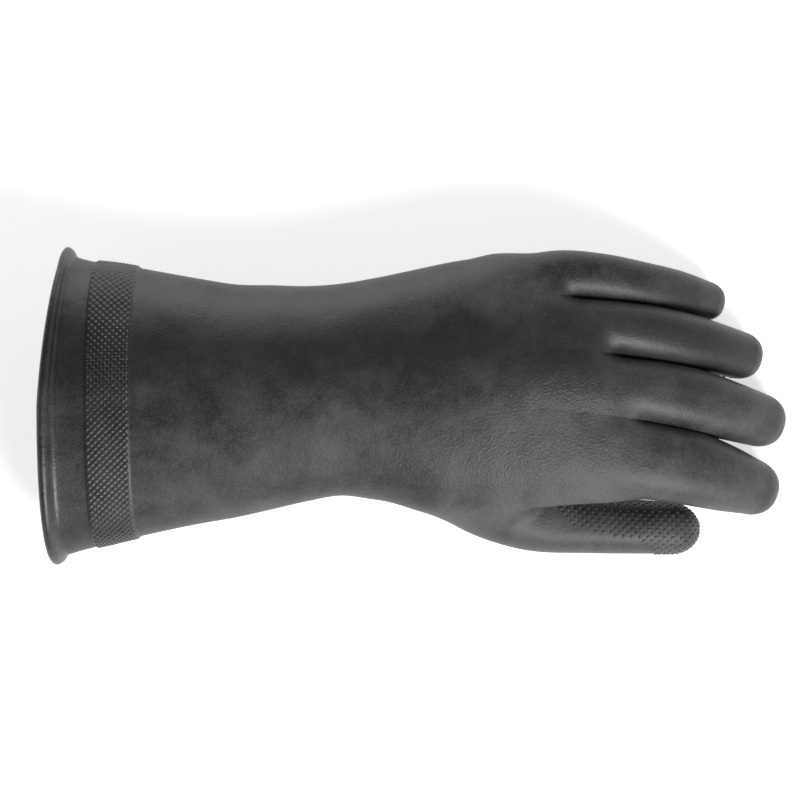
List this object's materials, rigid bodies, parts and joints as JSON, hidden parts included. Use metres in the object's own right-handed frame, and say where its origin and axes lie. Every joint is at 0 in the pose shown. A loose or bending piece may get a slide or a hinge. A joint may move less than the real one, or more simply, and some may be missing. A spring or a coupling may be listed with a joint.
{
  "type": "electrical insulating glove",
  "caption": "Black rubber insulating glove for the left hand: rolled cuff, knurled grip band, tapering gauntlet, palm-down curved fingers that bend at each joint.",
  "frame": {"origin": "on the surface that the glove lies on, under the middle of its bounding box", "axes": "+X from the cuff to the fingertips, +Y towards the little finger, +Z out of the back of the hand"},
  "size_m": [0.3304, 0.1408, 0.072],
  "materials": {
    "plain_rubber": "dusty matt natural rubber with a cloudy bloom",
    "knurled_rubber": "matt rubber moulded in small staggered points",
    "rolled_edge": "smoother dark rubber, slight sheen"
  },
  "bodies": {
    "gauntlet": {"cuff_bead": "rolled_edge", "cuff_flare": "plain_rubber", "grip_band": "knurled_rubber", "gauntlet": "plain_rubber"},
    "wrist": {"wrist_fold": "plain_rubber", "wrist": "plain_rubber"},
    "hand": {"palm_heel_fold": "plain_rubber", "hand": "plain_rubber"},
    "little_base": {"little_knuckle_fold": "plain_rubber", "little_base": "plain_rubber"},
    "little_middle": {"little_middle_fold": "plain_rubber", "little_middle": "plain_rubber"},
    "little_tip": {"little_tip_fold": "plain_rubber", "little_tip": "plain_rubber"},
    "ring_base": {"ring_knuckle_fold": "plain_rubber", "ring_base": "plain_rubber"},
    "ring_middle": {"ring_middle_fold": "plain_rubber", "ring_middle": "plain_rubber"},
    "ring_tip": {"ring_tip_fold": "plain_rubber", "ring_tip": "plain_rubber"},
    "middle_base": {"middle_knuckle_fold": "plain_rubber", "middle_base": "plain_rubber"},
    "middle_middle": {"middle_middle_fold": "plain_rubber", "middle_middle": "plain_rubber"},
    "middle_tip": {"middle_tip_fold": "plain_rubber", "middle_tip": "plain_rubber"},
    "index_base": {"index_knuckle_fold": "plain_rubber", "index_base": "plain_rubber"},
    "index_middle": {"index_middle_fold": "plain_rubber", "index_middle": "plain_rubber"},
    "index_tip": {"index_tip_fold": "plain_rubber", "index_tip": "plain_rubber"},
    "thumb_base": {"thumb_root_fold": "plain_rubber", "thumb_base": "plain_rubber"},
    "thumb_middle": {"thumb_middle_fold": "plain_rubber", "thumb_middle": "plain_rubber"},
    "thumb_tip": {"thumb_tip_fold": "plain_rubber", "thumb_tip": "plain_rubber"}
  },
  "joints": [
    {"name": "wrist_flex", "type": "hinge", "parent": "gauntlet", "child": "wrist", "pos_m": [-0.05, 0.0063, 0.0378], "axis": [0, 1, 0], "range_deg": [-50, 50], "stiffness_Nm_per_rad": 2, "deforming": ["wrist_fold"]},
    {"name": "wrist_deviation", "type": "hinge", "parent": "wrist", "child": "hand", "pos_m": [-0.014, 0.0089, 0.0393], "axis": [0, 0, 1], "range_deg": [-15, 20], "stiffness_Nm_per_rad": 2, "deforming": ["palm_heel_fold"]},
    {"name": "little_knuckle", "type": "hinge", "parent": "hand", "child": "little_base", "pos_m": [0.06845, 0.05796, 0.0313], "axis": [0.1903, 0.9817, 0], "range_deg": [-10, 65], "stiffness_Nm_per_rad": 0.3, "deforming": ["little_knuckle_fold"]},
    {"name": "little_middle", "type": "hinge", "parent": "little_base", "child": "little_middle", "pos_m": [0.09237, 0.05509, 0.02659], "axis": [0.1903, 0.9817, 0], "range_deg": [0, 65], "stiffness_Nm_per_rad": 0.2, "deforming": ["little_middle_fold"]},
    {"name": "little_tip", "type": "hinge", "parent": "little_middle", "child": "little_tip", "pos_m": [0.10967, 0.05283, 0.01858], "axis": [0.1903, 0.9817, 0], "range_deg": [0, 44], "stiffness_Nm_per_rad": 0.12, "deforming": ["little_tip_fold"]},
    {"name": "ring_knuckle", "type": "hinge", "parent": "hand", "child": "ring_base", "pos_m": [0.08575, 0.03437, 0.03051], "axis": [0.1903, 0.9817, 0], "range_deg": [-10, 65], "stiffness_Nm_per_rad": 0.3, "deforming": ["ring_knuckle_fold"]},
    {"name": "ring_middle", "type": "hinge", "parent": "ring_base", "child": "ring_middle", "pos_m": [0.10751, 0.0308, 0.02583], "axis": [0.1903, 0.9817, 0], "range_deg": [0, 65], "stiffness_Nm_per_rad": 0.2, "deforming": ["ring_middle_fold"]},
    {"name": "ring_tip", "type": "hinge", "parent": "ring_middle", "child": "ring_tip", "pos_m": [0.12533, 0.02744, 0.0173], "axis": [0.1903, 0.9817, 0], "range_deg": [0, 44], "stiffness_Nm_per_rad": 0.12, "deforming": ["ring_tip_fold"]},
    {"name": "middle_knuckle", "type": "hinge", "parent": "hand", "child": "middle_base", "pos_m": [0.09618, 0.00665, 0.0302], "axis": [0.1903, 0.9817, 0], "range_deg": [-10, 65], "stiffness_Nm_per_rad": 0.3, "deforming": ["middle_knuckle_fold"]},
    {"name": "middle_middle", "type": "hinge", "parent": "middle_base", "child": "middle_middle", "pos_m": [0.11704, 0.00269, 0.02536], "axis": [0.1903, 0.9817, 0], "range_deg": [0, 65], "stiffness_Nm_per_rad": 0.2, "deforming": ["middle_middle_fold"]},
    {"name": "middle_tip", "type": "hinge", "parent": "middle_middle", "child": "middle_tip", "pos_m": [0.13413, -0.0006, 0.01738], "axis": [0.1903, 0.9817, 0], "range_deg": [0, 44], "stiffness_Nm_per_rad": 0.12, "deforming": ["middle_tip_fold"]},
    {"name": "index_knuckle", "type": "hinge", "parent": "hand", "child": "index_base", "pos_m": [0.09608, -0.02466, 0.02967], "axis": [0.1903, 0.9817, 0], "range_deg": [-10, 65], "stiffness_Nm_per_rad": 0.3, "deforming": ["index_knuckle_fold"]},
    {"name": "index_middle", "type": "hinge", "parent": "index_base", "child": "index_middle", "pos_m": [0.11533, -0.02863, 0.0251], "axis": [0.1903, 0.9817, 0], "range_deg": [0, 65], "stiffness_Nm_per_rad": 0.2, "deforming": ["index_middle_fold"]},
    {"name": "index_tip", "type": "hinge", "parent": "index_middle", "child": "index_tip", "pos_m": [0.13064, -0.032, 0.01792], "axis": [0.1903, 0.9817, 0], "range_deg": [0, 44], "stiffness_Nm_per_rad": 0.12, "deforming": ["index_tip_fold"]},
    {"name": "thumb_root", "type": "hinge", "parent": "hand", "child": "thumb_base", "pos_m": [0.0502, -0.05866, 0.01745], "axis": [0, 0, -1], "range_deg": [0, 25], "stiffness_Nm_per_rad": 0.4, "deforming": ["thumb_root_fold"]},
    {"name": "thumb_middle", "type": "hinge", "parent": "thumb_base", "child": "thumb_middle", "pos_m": [0.07355, -0.04965, 0.01009], "axis": [0, 0.8, 0.6], "range_deg": [0, 35], "stiffness_Nm_per_rad": 0.2, "deforming": ["thumb_middle_fold"]},
    {"name": "thumb_tip", "type": "hinge", "parent": "thumb_middle", "child": "thumb_tip", "pos_m": [0.09497, -0.05142, 0.00937], "axis": [0, 0.8, 0.6], "range_deg": [0, 45], "stiffness_Nm_per_rad": 0.12, "deforming": ["thumb_tip_fold"]}
  ],
  "couplings": [
    {"joint": "little_tip", "follows": "little_middle", "ratio": 0.67},
    {"joint": "ring_tip", "follows": "ring_middle", "ratio": 0.67},
    {"joint": "middle_tip", "follows": "middle_middle", "ratio": 0.67},
    {"joint": "index_tip", "follows": "index_middle", "ratio": 0.67}
  ]
}
